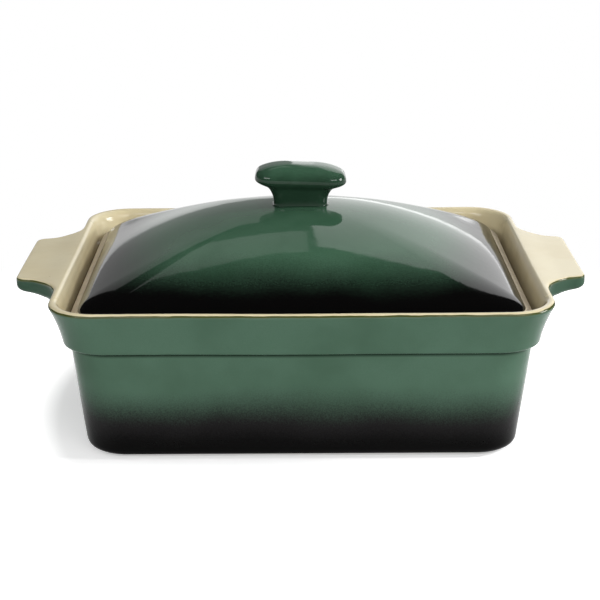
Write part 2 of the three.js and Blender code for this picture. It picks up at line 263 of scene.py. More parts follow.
def warp(points):
    """The slight unevenness that clay keeps from the mould and the kiln."""
    x, y, z = points.T
    shift = np.column_stack(
        [
            0.16 * np.sin(y / 31 + z / 23 + 0.7),
            0.16 * np.sin(x / 41 - z / 27 + 2.1) + 0.1 * np.sin(x / 17 + 0.4),
            0.2 * np.sin(x / 53 + 1.1) * np.cos(y / 47) + 0.09 * np.sin(x / 19 - y / 23),
        ]
    )
    return points + shift * smooth(z / 20)[:, None]


def make_piece(name, points, faces, layers, material, body, nodes):
    """Adds a smooth mesh that stands for its solids, kept inside the box of the solids."""
    inside = np.clip(points * MM, np.array(cad_box[0]), np.array(cad_box[1]))
    mesh = bpy.data.meshes.new(name)
    mesh.from_pydata(inside.tolist(), [], faces)
    mesh.shade_smooth()
    for key, values in layers.items():
        layer = mesh.attributes.new(key, "FLOAT", "POINT")
        layer.data.foreach_set("value", np.asarray(values, np.float32))
    mesh.materials.append(material)
    piece = bpy.data.objects.new(name, mesh)
    bpy.context.scene.collection.objects.link(piece)
    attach(piece, body)
    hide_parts(*nodes)
    return piece


def along(section, zero):
    """Distance along a section from one of its points."""
    steps = np.linalg.norm(np.diff(section, axis=0), axis=1)
    distance = np.concatenate([[0], np.cumsum(steps)])
    return distance - distance[zero]


def lip_arc(start, end, steps):
    """The rounded lip as inset and height. Angles rise from its outer edge over the crest."""
    angles = np.linspace(start, end, steps + 1)[1:]
    inset = LIP_RADIUS * (1 - np.cos(angles))
    return np.column_stack([inset, LIP_EDGE_Z + LIP_RADIUS * np.sin(angles)])


def crest_roll(steps):
    """The soft roll from the crest of the rim into the gallery, from its crest."""
    end = gallery_inset(GALLERY_TOP_Z)
    near_end = (end - ROLL_PULL[0], GALLERY_TOP_Z + ROLL_PULL[1])
    crest_end = (LIP_RADIUS + CREST_FLAT, RIM_TOP)
    points = [(LIP_RADIUS, RIM_TOP), crest_end, near_end, (end, GALLERY_TOP_Z)]
    return bezier(points, steps, first=True)


def band_rows(start, end, steps):
    z = np.linspace(start, end, steps + 1)[1:]
    return np.column_stack([band_inset(z), z])


def dish_section():
    """Section of the dish from the middle of the underside, round the lip, to the middle of the floor.
    Returns the section and the index of the glaze line on the lip."""
    deep_inset = RIM_Y - MIDDLE_HALF
    base_start = (wall_inset(BASE_Z) + BASE_EDGE_RADIUS, BASE_Z)
    under = bezier([(deep_inset, BASE_Z), base_start], 7, first=True)
    foot_z = BASE_Z + BASE_EDGE_RADIUS
    wall_foot = (wall_inset(foot_z), foot_z)
    base = bezier([under[-1], (wall_inset(BASE_Z), BASE_Z), wall_foot], 12)
    wall_top = (wall_inset(STEP_Z - STEP_HOLLOW), STEP_Z - STEP_HOLLOW)
    wall = bezier([wall_foot, wall_top], 26)
    nose_start = (RIM_FLARE + STEP_NOSE, STEP_Z)
    hollow = bezier([wall_top, (WALL_TOP_INSET, STEP_Z), nose_start], 8)
    nose_top_z = STEP_Z + STEP_NOSE
    nose = bezier([nose_start, (RIM_FLARE, STEP_Z), (band_inset(nose_top_z), nose_top_z)], 9)
    outside = [under, base, wall, hollow, nose, band_rows(nose_top_z, LIP_EDGE_Z, 18)]
    outside.append(lip_arc(0, GLAZE_LINE_ANGLE, 4))
    lip = np.concatenate([lip_arc(GLAZE_LINE_ANGLE, math.pi / 2, 10), crest_roll(18)[1:]])
    gallery_foot_z = LEDGE_Z + CREASE_RADIUS
    gallery_foot = (gallery_inset(gallery_foot_z), gallery_foot_z)
    gallery = bezier([lip[-1], gallery_foot], 10)
    ledge_inner = WALL_TOP_INSET + WALL_THICKNESS
    ledge_start = (gallery_inset(LEDGE_Z) + CREASE_RADIUS, LEDGE_Z)
    crease = bezier([gallery[-1], (gallery_inset(LEDGE_Z), LEDGE_Z), ledge_start], 6)
    ledge_end = (ledge_inner - LEDGE_EDGE, LEDGE_Z)
    inner_top = (ledge_inner, LEDGE_Z - LEDGE_EDGE)
    edge = bezier([ledge_end, (ledge_inner, LEDGE_Z), inner_top], 6)
    fillet_z = FLOOR_Z + FLOOR_FILLET
    fillet_top = (wall_inset(fillet_z) + WALL_THICKNESS, fillet_z)
    corner = (wall_inset(FLOOR_Z) + WALL_THICKNESS, FLOOR_Z)
    floor_start = (corner[0] + FLOOR_FILLET, FLOOR_Z)
    inner_wall = bezier([inner_top, fillet_top], 20)
    fillet = bezier([fillet_top, corner, floor_start], 12)
    floor = bezier([floor_start, (deep_inset, FLOOR_Z)], 6)
    inside = [lip, gallery, crease, bezier([ledge_start, ledge_end], 3), edge, inner_wall, fillet, floor]
    line = sum(len(rows) for rows in outside) - 1
    return np.concatenate(outside + inside), line


def make_dish(material):
    section, line = dish_section()
    rings = [stand(dish_ring(inset), z) for inset, z in section]
    columns = len(rings[0])
    faces = skin_faces(len(rings), columns)
    last = (len(rings) - 1) * columns
    faces.append(list(range(columns))[::-1])
    faces.append(list(range(last, last + columns)))
    inset, z = section.T
    under_step = inset > RIM_FLARE + STEP_NOSE - 0.5
    # painted shade in the hollow under the step
    hollow = np.clip(1 - np.abs(z - STEP_Z + STEP_SHADE_DROP) / STEP_SHADE_REACH, 0, 1) * under_step
    inside_rim = inset > band_inset(z) + LIP_RADIUS
    # the bare seat by the ledge, darkened further with painted shade for the gap beside the lid
    shaded_seat = np.clip(1 - np.abs(z - LEDGE_Z) / SEAT_REACH, 0, 1) * inside_rim
    outside = np.arange(len(section)) < line
    layers = {
        "glaze_line": np.repeat(along(section, line), columns),
        "painted_shade": np.repeat(hollow * outside, columns),
        "shaded_seat": np.repeat(smooth(shaded_seat * SEAT_GAIN) * ~outside, columns),
    }
    points = warp(np.concatenate(rings))
    return make_piece("dish", points, faces, layers, material, "dish", ["dish_body"])


def make_foot(material):
    outer, inner = FOOT_INSET, FOOT_INSET + FOOT_WIDTH
    edge = FOOT_EDGE
    top = BASE_Z + FOOT_OVERLAP
    section = [
        bezier([(inner - edge, 0), (outer + edge, 0)], 4, first=True),
        bezier([(outer + edge, 0), (outer, 0), (outer, edge)], 5),
        bezier([(outer, edge), (outer, top)], 2),
        bezier([(outer, top), (inner, top)], 2),
        bezier([(inner, top), (inner, edge)], 2),
        bezier([(inner, edge), (inner, 0), (inner - edge, 0)], 5)[:-1],
    ]
    rings = [stand(dish_ring(inset), z) for inset, z in np.concatenate(section)]
    faces = skin_faces(len(rings), len(rings[0]), joined=True)
    points = np.concatenate(rings)
    return make_piece("foot", points, faces, {}, material, "dish", ["foot_ring"])


def lug_outline(half_stations):
    """Plan of a lug that points along +X, as points and outward normals from one root to the other."""
    corner = np.array([HANDLE_TIP_X, HANDLE_TIP_HALF])
    tip_start = corner - [0, HANDLE_TIP_RADIUS]
    tip_end = corner + HANDLE_SIDE_WAY * HANDLE_TIP_RADIUS
    side_end = tip_end + HANDLE_SIDE_WAY * HANDLE_SIDE_PULL
    root = (RIM_X, HANDLE_ROOT_HALF)
    root_start = (RIM_X, HANDLE_ROOT_HALF - HANDLE_ROOT_PULL)
    half = np.concatenate(
        [
            bezier([(HANDLE_TIP_X, 0), tip_start], 20, first=True),
            bezier([tip_start, corner, tip_end], 20),
            bezier([tip_end, side_end, root_start, root], 40),
        ]
    )
    distance = along(half, 0)
    even = np.linspace(0, distance[-1], half_stations)
    half = np.column_stack([np.interp(even, distance, half[:, axis]) for axis in (0, 1)])
    outline = np.concatenate([half[:0:-1] * [1, -1], half])
    tangent = np.gradient(outline, axis=0)
    tangent /= np.linalg.norm(tangent, axis=1)[:, None]
    return outline, np.column_stack([tangent[:, 1], -tangent[:, 0]])


def rim_places(outline):
    """Where each point of a lug's outline is tied to the rim, along Y."""
    distance = along(outline, len(outline) // 2)
    side = np.abs(distance)
    straight = HANDLE_TIP_HALF - HANDLE_TIP_RADIUS
    span = side.max() - straight
    gain = HANDLE_ROOT_HALF - straight
    t = np.clip((side - straight) / span, 0, 1)
    slope = span / gain
    share = slope * (2 * t**3 - 3 * t**2 + t) + 3 * t**2 - 2 * t**3
    return np.sign(distance) * np.where(side < straight, side, straight + gain * share)


def lug_rows(outline, normal, tied):
    """Rows of a lug as points: over the top, round the edges and back along the underside to the band. Each
    has its twin on the bare rim, which it grows out of near the roots. Returns the rows and the index of the
    row on the glaze line."""
    overhang = outline[:, 0] - RIM_X
    edge_room = EDGE_SHARE * overhang + LEAST_ROUND
    top_edge = np.minimum(HANDLE_TOP_EDGE, edge_room)[:, None]
    under_edge = np.minimum(HANDLE_UNDER_EDGE, edge_room)[:, None]
    crest = np.column_stack([np.full(len(tied), RIM_X - LIP_RADIUS), tied])
    grow = smooth(overhang / HANDLE_MERGE)[:, None]

    def top_z(plan):
        past_crest = (plan[:, 0] - crest[0, 0]) / HANDLE_FOLD
        return HANDLE_TOP + (RIM_TOP - HANDLE_TOP) * (1 - smooth(past_crest))

    def under_z(plan):
        share = (plan[:, 0] - RIM_X) / (HANDLE_TIP_X - RIM_X)
        thickness = HANDLE_ROOT_THICKNESS + (HANDLE_TIP_THICKNESS - HANDLE_ROOT_THICKNESS) * share
        return HANDLE_TOP - thickness

    rows = []

    def add(rim_point, plan, z):
        inset, rim_z = rim_point
        bare = np.column_stack([np.full(len(tied), RIM_X - inset), tied, np.full(len(tied), rim_z)])
        rows.append(bare + (stand(plan, z) - bare) * grow)

    inner = crest_roll(20)[8::-1]
    for share, point in zip(np.linspace(1, 0, len(inner)), inner):
        sunk = point - [0, BURIED * share]
        add(sunk, np.column_stack([np.full(len(tied), RIM_X - sunk[0]), tied]), sunk[1])
    edge_top = outline - normal * top_edge
    rim_top = lip_arc(math.pi / 2, TWIN_ANGLE, 14)
    for share, point in zip(np.linspace(0, 1, 15)[1:], rim_top):
        plan = crest + (edge_top - crest) * share
        add(point, plan, top_z(plan))
    glaze_row = len(rows) + 2
    edge_z = top_z(edge_top)
    rim_edge = lip_arc(TWIN_ANGLE, 0, 6)
    for angle, point in zip(np.linspace(0, math.pi / 2, 7)[1:], rim_edge):
        plan = outline - normal * top_edge * (1 - math.sin(angle))
        add(point, plan, edge_z - top_edge[:, 0] * (1 - math.cos(angle)))
    side_top = edge_z - top_edge[:, 0]
    side_foot = under_z(outline) + under_edge[:, 0]
    rim_side = band_rows(LIP_EDGE_Z, TWIN_SIDE_Z, 6)
    for share, point in zip(np.linspace(0, 1, 7)[1:], rim_side):
        add(point, outline, side_top + (side_foot - side_top) * share)
    rim_round = band_rows(TWIN_SIDE_Z, TWIN_ROUND_Z, 7)
    for angle, point in zip(np.linspace(0, math.pi / 2, 8)[1:], rim_round):
        plan = outline - normal * under_edge * (1 - math.cos(angle))
        add(point, plan, side_foot - under_edge[:, 0] * math.sin(angle))
    under_start = outline - normal * under_edge
    fillet = np.minimum(HANDLE_UNDER_FILLET, FILLET_SHARE * overhang + LEAST_ROUND)
    band_z = under_z(np.column_stack([np.full(len(tied), RIM_X), tied])) - 1
    band_x = RIM_X - band_inset(band_z)
    fillet_start = np.column_stack([band_x + fillet, tied])
    rim_under = band_rows(TWIN_ROUND_Z, TWIN_UNDER_Z, 8)
    for share, point in zip(np.linspace(0, 1, 9)[1:], rim_under):
        plan = under_start + (fillet_start - under_start) * share
        add(point, plan, under_z(plan))
    start_z = under_z(fillet_start)
    end_z = start_z - fillet
    end_x = RIM_X - band_inset(end_z)
    rim_fillet = band_rows(TWIN_UNDER_Z, TWIN_FILLET_Z, 7)
    for t, point in zip(np.linspace(0, 1, 8)[1:], rim_fillet):
        x = (1 - t) ** 2 * fillet_start[:, 0] + 2 * t * (1 - t) * band_x + t**2 * end_x
        z = (1 - t) ** 2 * start_z + 2 * t * (1 - t) * (start_z - 0.2) + t**2 * end_z
        add(point, np.column_stack([x, tied]), z)
    for drop in (1, 2, 3):
        z = end_z - drop
        sunk = RIM_X - band_inset(z) - BURIED * drop / 3
        rim_z = TWIN_FILLET_Z - drop
        add((band_inset(rim_z) + BURIED * drop / 3, rim_z), np.column_stack([sunk, tied]), z)
    for share in (0, 0.5, 1):
        z = TWIN_CORE_Z + (LIP_EDGE_Z - TWIN_CORE_Z) * share
        inset = RIM_FLARE + (CORE_TOP_INSET - RIM_FLARE) * share
        add((inset, z), np.column_stack([np.full(len(tied), RIM_X - inset), tied]), z)
    return rows, glaze_row


def make_handle(name, turn, material):
    """A lug luted to the rim. Its edges lie just under the surface of the dish, in line with it."""
    outline, normal = lug_outline(72)
    rows, glaze_row = lug_rows(outline, normal, rim_places(outline))
    rings = np.stack(rows, 1)
    rings[:2] = rings[:2] - np.array([2 * BURIED, 0, 0])
    rings[-2:] = rings[-2:] - np.array([2 * BURIED, 0, 0])
    stations, count, _ = rings.shape
    glaze = np.concatenate([-along(ring, glaze_row) for ring in rings])
    faces = [face[::-1] for face in skin_faces(stations, count)]
    faces.append(list(range(count)))
    faces.append(list(range((stations - 1) * count, stations * count))[::-1])
    points = rings.reshape(-1, 3) * [turn, turn, 1]
    # painted shade over the green sides of the handles
    layers = {"glaze_line": glaze, "painted_shade": np.where(glaze < -1, HANDLE_PAINTED_SHADE, 0)}
    return make_piece(name, warp(points), faces, layers, material, "dish", [name])


def dome_rows(foot, shares, crown_z, rise):
    """Levels of a dome over a rounded rectangle, which turn into ellipses towards the crown."""
    half = foot.max(0)
    reach = np.hypot(foot[:, 0] / half[0], foot[:, 1] / half[1])
    rows = []
    for share in shares:
        square = share**2
        scale = share * (square + (1 - square) / reach)
        slope = (1 - DOME_SHOULDER_SHARE) * share**DOME_POWER
        shoulder = DOME_SHOULDER_SHARE * share**DOME_SHOULDER_POWER
        rows.append(stand(foot * scale[:, None], crown_z - rise * (slope + shoulder)))
    return rows


def make_lid(material):
    """The shell of the lid. Its glaze ends in a low edge on the shoulder, and the clay below is bare."""
    foot = lid_ring(DOME_INSET)
    inner_foot = lid_ring(DOME_INSET + LID_THICKNESS)
    shares = np.sin(np.linspace(0.03, 1, 72) * math.pi / 2)
    outer = dome_rows(foot, shares, CROWN_Z, CROWN_Z - DOME_FOOT_Z)
    glazed = 1 + GLAZE_DEPTH * (smooth((GLAZE_END - shares) / GLAZE_EDGE) - 1)
    outer = [row * [scale, scale, 1] for row, scale in zip(outer, glazed)]
    hollow_crown = CROWN_Z - LID_THICKNESS
    hollow_foot = LID_FOOT_Z + LID_HOLLOW_START
    inner = dome_rows(inner_foot, shares, hollow_crown, hollow_crown - hollow_foot)
    hidden = [
        stand(lid_ring(DOME_INSET + LID_THICKNESS - 0.8), hollow_foot - 2),
        stand(lid_ring(DOME_INSET + 1), DOME_FOOT_Z - 2),
    ]
    rows = inner + hidden + outer[::-1]
    inside = len(inner) + len(hidden)
    share = np.concatenate([np.full(inside, 1.0), shares[::-1]])
    underside = np.concatenate([np.full(inside, 1.0), np.zeros(len(outer))])
    columns = len(foot)
    points = np.concatenate(rows)
    faces = skin_faces(len(rows), columns)
    poles = np.array([[0, 0, hollow_crown], [0, 0, CROWN_Z]])
    first, final = len(points), len(points) + 1
    top = (len(rows) - 1) * columns
    for i in range(columns):
        j = (i + 1) % columns
        faces.append([first, j, i])
        faces.append([final, top + i, top + j])
    points = warp(np.concatenate([points, poles]))
    layers = {
        "share": np.concatenate([np.repeat(share, columns), [0, 0]]),
        "underside": np.concatenate([np.repeat(underside, columns), [1, 0]]),
    }
    return make_piece("lid", points, faces, layers, material, "lid", ["lid_dome"])


def make_brim(material):
    """The bare clay edge of the lid, and the foot that it sits on."""
    slope = BRIM_RISE / (DOME_INSET - LID_INSET)
    edge_z = DOME_FOOT_Z - BRIM_RISE
    upright = (LID_INSET, edge_z - LID_EDGE_RADIUS)
    shoulder = (LID_INSET + LID_EDGE_RADIUS, edge_z + slope * LID_EDGE_RADIUS)
    joint = (DOME_INSET, DOME_FOOT_Z - 0.15)
    tuck = (DOME_INSET + 1.5, DOME_FOOT_Z - 1)
    inner = DOME_INSET + LID_THICKNESS
    foot = LID_FOOT_Z
    hollow_edge = (inner, foot + LID_HOLLOW_START - 0.2)
    outer_start, outer_end = (LID_INSET + BRIM_FOOT_EDGE, foot), (LID_INSET, foot + BRIM_FOOT_EDGE)
    inner_start, inner_end = (inner - BRIM_INNER_EDGE, foot), (inner, foot + BRIM_INNER_EDGE)
    section = [
        bezier([inner_start, outer_start], 6, first=True),
        bezier([outer_start, (LID_INSET, foot), outer_end], 5),
        bezier([outer_end, upright], 4),
        bezier([upright, (LID_INSET, edge_z), shoulder], 8),
        bezier([shoulder, joint], 5),
        bezier([joint, tuck], 2),
        bezier([tuck, hollow_edge], 3),
        bezier([hollow_edge, inner_end], 3),
        bezier([inner_end, (inner, foot), inner_start], 4)[:-1],
    ]
    rings = [stand(lid_ring(inset), z) for inset, z in np.concatenate(section)]
    faces = skin_faces(len(rings), len(rings[0]), joined=True)
    points = warp(np.concatenate(rings))
    return make_piece("lid_brim", points, faces, {}, material, "lid", ["lid_rim"])


def crown_height(plan):
    """Height of the dome's outside near the crown."""
    half = np.array([RIM_X, RIM_Y]) - DOME_INSET
    share = np.hypot(plan[:, 0] / half[0], plan[:, 1] / half[1])
    return CROWN_Z - (CROWN_Z - DOME_FOOT_Z) * (1 - DOME_SHOULDER_SHARE) * share**DOME_POWER


def make_knob(material):
    """An oblong grip on a waisted neck. A spread of 0 is the neck and 1 the edge of the grip."""
    steps = (14, (22, 14))
    crown = KNOB_TOP - CROWN_Z - KNOB_TOP_ROOM
    top_edge = crown - KNOB_SWELL

    def stem_ring(spread):
        half_x = NECK_X + (KNOB_X - NECK_X) * spread
        half_y = NECK_Y + (KNOB_Y - NECK_Y) * spread
        return rounded_ring(half_x, half_y, KNOB_CORNER_RADIUS * half_y / KNOB_Y, *steps)

    def grip_ring(inset):
        radius = KNOB_CORNER_RADIUS - KNOB_CORNER_TIGHTENING * inset
        return rounded_ring(KNOB_X - inset, KNOB_Y - inset, radius, *steps)

    flare = NECK_FLARE / (KNOB_X - NECK_X)
    foot = bezier([(flare, 0), (0, 0), (0, NECK_FOOT_RISE)], 8, first=True)
    neck = bezier([foot[-1], *NECK_BEND], 12)
    under = bezier([neck[-1], *UNDER_BEND], 12)
    edge = bezier([under[-1], EDGE_BEND, (1, KNOB_EDGE_Z)], 10)
    side_bend = (0, top_edge - KNOB_SIDE_BULGE)
    side = bezier([(0, KNOB_EDGE_Z), side_bend, (KNOB_TOP_INSET, top_edge)], 12)
    rows = [stand(stem_ring(flare), crown_height(stem_ring(flare)) - KNOB_BURIED)]
    for spread, z in np.concatenate([foot, neck, under, edge]):
        plan = stem_ring(spread)
        level = 1 - smooth(z / KNOB_STAND)
        rows.append(stand(plan, z + CROWN_Z + (crown_height(plan) - CROWN_Z) * level))
    for inset, z in side:
        rows.append(stand(grip_ring(inset), z + CROWN_Z))
    for share in np.linspace(1, 0, 22)[1:-1]:
        swell = KNOB_SWELL * (1 - share**KNOB_SWELL_POWER)
        rows.append(stand(grip_ring(KNOB_TOP_INSET) * share, top_edge + swell + CROWN_Z))
    columns = len(rows[0])
    faces = skin_faces(len(rows), columns)
    faces.append(list(range(columns))[::-1])
    points = np.concatenate(rows + [[[0, 0, CROWN_Z + crown]]])
    leaning = smooth((points[:, 2] - CROWN_Z - KNOB_LEAN_START) / KNOB_LEAN_SPAN)
    points[:, 2] -= KNOB_LEAN * points[:, 0] * leaning
    pole = len(points) - 1
    last = pole - columns
    faces += [[pole, last + i, last + (i + 1) % columns] for i in range(columns)]
    return make_piece("knob", warp(points), faces, {}, material, "lid", ["lid_knob"])


class Shading:
    """A material's node tree, with short ways to add its nodes."""

    def __init__(self, name):
        self.material = bpy.data.materials.new(name)
        self.material.use_nodes = True
        self.tree = self.material.node_tree
        self.shader = self.tree.nodes["Principled BSDF"]
        place = self.tree.nodes.new("ShaderNodeTexCoord")
        self.place = place.outputs["Object"]

    def node(self, kind, inputs, output=0, **settings):
        made = self.tree.nodes.new(kind)
        for key, value in settings.items():
            setattr(made, key, value)
        for key, value in inputs.items():
            self.join(value, made.inputs[key])
        return made.outputs[output]

    def join(self, value, socket):
        if isinstance(value, bpy.types.NodeSocket):
            self.tree.links.new(value, socket)
        else:
            socket.default_value = value

    def noise(self, size_mm, detail=2.0, roughness=0.5):
        """Noise from 0 to 1 with lumps of about the given size."""
        inputs = {"Vector": self.place, "Scale": 1 / (size_mm * MM), "Detail": detail, "Roughness": roughness}
        return self.node("ShaderNodeTexNoise", inputs)

    def layer(self, name):
        return self.node("ShaderNodeAttribute", {}, output="Fac", attribute_name=name)

    def math(self, operation, a, b=0.0):
        return self.node("ShaderNodeMath", {0: a, 1: b}, operation=operation)

    def ramp(self, value, low, high, start=0.0, end=1.0, smooth_step=True):
        kind = "SMOOTHSTEP" if smooth_step else "LINEAR"
        inputs = {"Value": value, "From Min": low, "From Max": high, "To Min": start, "To Max": end}
        return self.node("ShaderNodeMapRange", inputs, interpolation_type=kind)

    def mix(self, share, a, b):
        made = self.tree.nodes.new("ShaderNodeMix")
        made.data_type = "RGBA"
        for value, index in ((share, 0), (a, 6), (b, 7)):
            self.join(value, made.inputs[index])
        return made.outputs[2]

    def bump(self, height, depth_mm, under=None):
        inputs = {"Height": height, "Distance": depth_mm * MM, "Strength": 1.0}
        if under is not None:
            inputs["Normal"] = under
        return self.node("ShaderNodeBump", inputs)

    def finish(self, **inputs):
        for key, value in inputs.items():
            self.join(value, self.shader.inputs[key.replace("_", " ")])
        return self.material


DISH_GREEN = (0.068, 0.128, 0.088, 1)
DISH_GREEN_DEEP = (0.052, 0.102, 0.067, 1)
LID_GREEN = (0.05, 0.113, 0.069, 1)
LID_GREEN_DEEP = (0.034, 0.088, 0.05, 1)
# painted shade: deep green for the hollow under the step, the sides of the handles and the knob's underside
# and neck
GREEN_PAINTED_SHADE = (0.008, 0.022, 0.012, 1)
BLACK = (0.0016, 0.0015, 0.0015, 1)
CHARCOAL = (0.01, 0.0094, 0.0097, 1)
OLIVE = (0.055, 0.066, 0.016, 1)
CREAM = (0.68, 0.605, 0.4, 1)
CREAM_WARM = (0.62, 0.53, 0.325, 1)
CLAY = (0.56, 0.485, 0.36, 1)
CLAY_DARK = (0.4, 0.335, 0.24, 1)
# bare clay of the seat, made darker with painted shade
CLAY_SEAT_SHADED = (0.27, 0.215, 0.145, 1)
FLECK = (0.2, 0.13, 0.06, 1)
WHITE = (1, 1, 1, 1)

# Where the glazes change and where painted shade darkens the knob: heights in metres on the dish and the
# knob, and shares of the dome on the lid
BLACK_FADE = (0.01, 0.027)
GREEN_FADE = (0.023, 0.056)
LID_FADE = (0.62, 0.93)
# painted shade on the knob: heights over which it gives way to the plain green
KNOB_SHADE_RANGE = (0.158, 0.174)
KNOB_SHINE = (0.158, 0.168)
LIP_SHINE = (-2.5, -0.5)  # distance from the glaze line, in millimetres
OLIVE_LINE = (-1.9, -0.7)
CREAM_LINE = (-0.12, 0.22)


def green_coat(s, mottle, grain, green, deep):
    """Sprayed green glaze: clouds of deeper green and a fine grain."""
    clouds = s.mix(s.ramp(mottle, 0.35, 0.75), green, deep)
    speckle = s.ramp(grain, 0.3, 0.75, 0.0, 0.3)
    return s.mix(speckle, clouds, deep)


def cream_coat(s):
    """Cream glaze, a little warmer where it lies thin, with rare iron flecks."""
    base = s.mix(s.ramp(s.noise(38, 3), 0.35, 0.7, 0.0, 0.55), CREAM, CREAM_WARM)
    flecks = s.ramp(s.noise(2.6, 1), 0.8, 0.86, 0.0, 0.35)
    return s.mix(flecks, base, FLECK)


def clay_coat(s):
    """Bare clay, unevenly toasted, with sand and iron flecks."""
    toast = s.ramp(s.noise(22, 4), 0.35, 0.7, 0.0, 0.6)
    base = s.mix(toast, CLAY, CLAY_DARK)
    grainy = s.mix(s.ramp(s.noise(0.7, 3, 0.7), 0.45, 0.8, 0.0, 0.5), base, CLAY_DARK)
    return s.mix(s.ramp(s.noise(2.2, 1), 0.74, 0.8, 0.0, 0.7), grainy, FLECK)


def dish_glaze():
    """Green outside that fades to black at the base, and cream inside and over the lip. Painted shade darkens
    the hollow under the step, the green sides of the handles and the seat inside the rim.
    """
    s = Shading("dish_glaze")
    mottle = s.noise(46, 3)
    grain = s.noise(0.9, 2, 0.6)
    height = s.node("ShaderNodeSeparateXYZ", {0: s.place}, output="Z")
    drift = s.ramp(s.noise(70, 2), 0.3, 0.7, -0.003, 0.003, False)
    spray = s.ramp(grain, 0.25, 0.75, -0.004, 0.004, False)
    fade_height = s.math("ADD", height, s.math("ADD", drift, spray))
    coat = green_coat(s, mottle, grain, DISH_GREEN, DISH_GREEN_DEEP)
    dark = s.mix(s.ramp(fade_height, *BLACK_FADE), BLACK, CHARCOAL)
    green = s.mix(s.ramp(fade_height, *GREEN_FADE), dark, coat)
    line = s.layer("glaze_line")
    wander = s.ramp(s.noise(17, 2), 0.3, 0.7, -0.3, 0.3, False)
    edge = s.math("ADD", line, wander)
    olive = s.ramp(edge, *OLIVE_LINE)
    # painted shade: darker green under the step and on the sides of the handles
    shaded_green = s.mix(s.ramp(s.layer("painted_shade"), 0.1, 0.9), green, GREEN_PAINTED_SHADE)
    outside = s.mix(olive, shaded_green, OLIVE)
    cream = s.ramp(edge, *CREAM_LINE)
    glazed = s.mix(cream, outside, cream_coat(s))
    # the seat by the ledge: bare clay with painted shade
    colour = s.mix(s.ramp(s.layer("shaded_seat"), 0.2, 0.8), glazed, CLAY_SEAT_SHADED)
    peel = s.noise(5.5, 1)
    ripple = s.noise(34, 1)
    normal = s.bump(grain, 0.012, s.bump(peel, 0.06, s.bump(ripple, 0.5)))
    gloss = s.ramp(s.noise(9, 3), 0.3, 0.7, 0.15, 0.24, False)
    roughness = s.mix(olive, gloss, (0.05, 0.05, 0.05, 1))
    shine = s.ramp(edge, *LIP_SHINE, 0.06, 0.5)
    return s.finish(Base_Color=colour, Roughness=roughness, Normal=normal, Specular_IOR_Level=shine)


def lid_glaze():
    """Green crown that fades to black towards the edge of the lid, a bare edge, and a cream underside."""
    s = Shading("lid_glaze")
    mottle = s.noise(42, 3)
    grain = s.noise(0.9, 2, 0.6)
    drift = s.ramp(s.noise(60, 2), 0.3, 0.7, -0.025, 0.025, False)
    spray = s.ramp(grain, 0.25, 0.75, -0.03, 0.03, False)
    place = s.layer("share")
    share = s.math("ADD", place, s.math("ADD", drift, spray))
    coat = green_coat(s, mottle, grain, LID_GREEN, LID_GREEN_DEEP)
    green = s.mix(s.ramp(share, *LID_FADE), coat, BLACK)
    wander = s.ramp(s.noise(14, 2), 0.3, 0.7, -0.0012, 0.0012, False)
    bare = s.ramp(s.math("ADD", place, wander), GLAZE_END - 0.001, GLAZE_END + 0.0005)
    edged = s.mix(bare, green, clay_coat(s))
    colour = s.mix(s.layer("underside"), edged, cream_coat(s))
    normal = s.bump(s.noise(6, 1), 0.03)
    gloss = s.ramp(s.noise(12, 3), 0.3, 0.7, 0.05, 0.09, False)
    below = s.math("MULTIPLY", bare, s.math("SUBTRACT", 1.0, s.layer("underside")))
    roughness = s.mix(below, gloss, (0.85, 0.85, 0.85, 1))
    return s.finish(Base_Color=colour, Roughness=roughness, Normal=normal)


def knob_glaze():
    """The lid's green, darkened under the grip and round the neck by painted shade."""
    s = Shading("knob_glaze")
    height = s.node("ShaderNodeSeparateXYZ", {0: s.place}, output="Z")
    coat = green_coat(s, s.noise(24, 3), s.noise(0.9, 2, 0.6), LID_GREEN, LID_GREEN_DEEP)
    drift = s.ramp(s.noise(9, 2), 0.3, 0.7, -0.001, 0.001, False)
    # painted shade: the green darkens towards the neck and under the grip
    deep = s.ramp(s.math("ADD", height, drift), *KNOB_SHADE_RANGE, 0.85, 0.0)
    colour = s.mix(deep, coat, GREEN_PAINTED_SHADE)
    normal = s.bump(s.noise(6, 1), 0.03)
    gloss = s.ramp(s.noise(8, 3), 0.3, 0.7, 0.05, 0.1, False)
    shine = s.ramp(height, *KNOB_SHINE, 0.2, 0.5)
    return s.finish(Base_Color=colour, Roughness=gloss, Normal=normal, Specular_IOR_Level=shine)


def bare_clay():
    """Unglazed stoneware: matt and sandy."""
    s = Shading("bare_clay")
    colour = clay_coat(s)
    sand = s.noise(0.7, 3, 0.7)
    normal = s.bump(sand, 0.09)
    roughness = s.ramp(sand, 0.2, 0.8, 0.7, 0.92, False)
    return s.finish(Base_Color=colour, Roughness=roughness, Normal=normal)


# Studio. Directions are compass angles from the camera's side, growing to the right, and heights above the
# horizon, both in degrees. Brightness is radiance, where 1 is white.
AIM = Vector((0, 0, 0.08))
HORIZON = (0.03, 0.07)  # heights between which the bright horizon gives way to the dark above
HORIZON_GLOW = 0.95
DARK_ABOVE = 0.02

# Floor, in metres. Distances are from the middle of the dish, and count for more along it than across it.
FLOOR_HALF = 12
FLOOR_DROP = 0.0002
FLOOR_STRETCH = (1.3, 1, 1)
GLOW_RANGE = (0.185, 0.27)
UNLIT_RANGE = (0.34, 0.46)
NEAR_GLOW = 0.38
FLOOR_TONE = (0.93, 0.93, 0.93, 1)
FLOOR_TONE_PALE = (0.95, 0.95, 0.95, 1)

# Camera
CAMERA_PLACE = (-0.00523, -0.95816, 0.40611)
CAMERA_YAW = math.radians(0.283)
CAMERA_PITCH = math.radians(19.175)
CAMERA_ROLL = math.radians(-0.2)
SENSOR_WIDTH = 36
LENS = 87


def way(azimuth, elevation):
    a, e = math.radians(azimuth), math.radians(elevation)
    return Vector((math.sin(a) * math.cos(e), -math.cos(a) * math.cos(e), math.sin(e)))


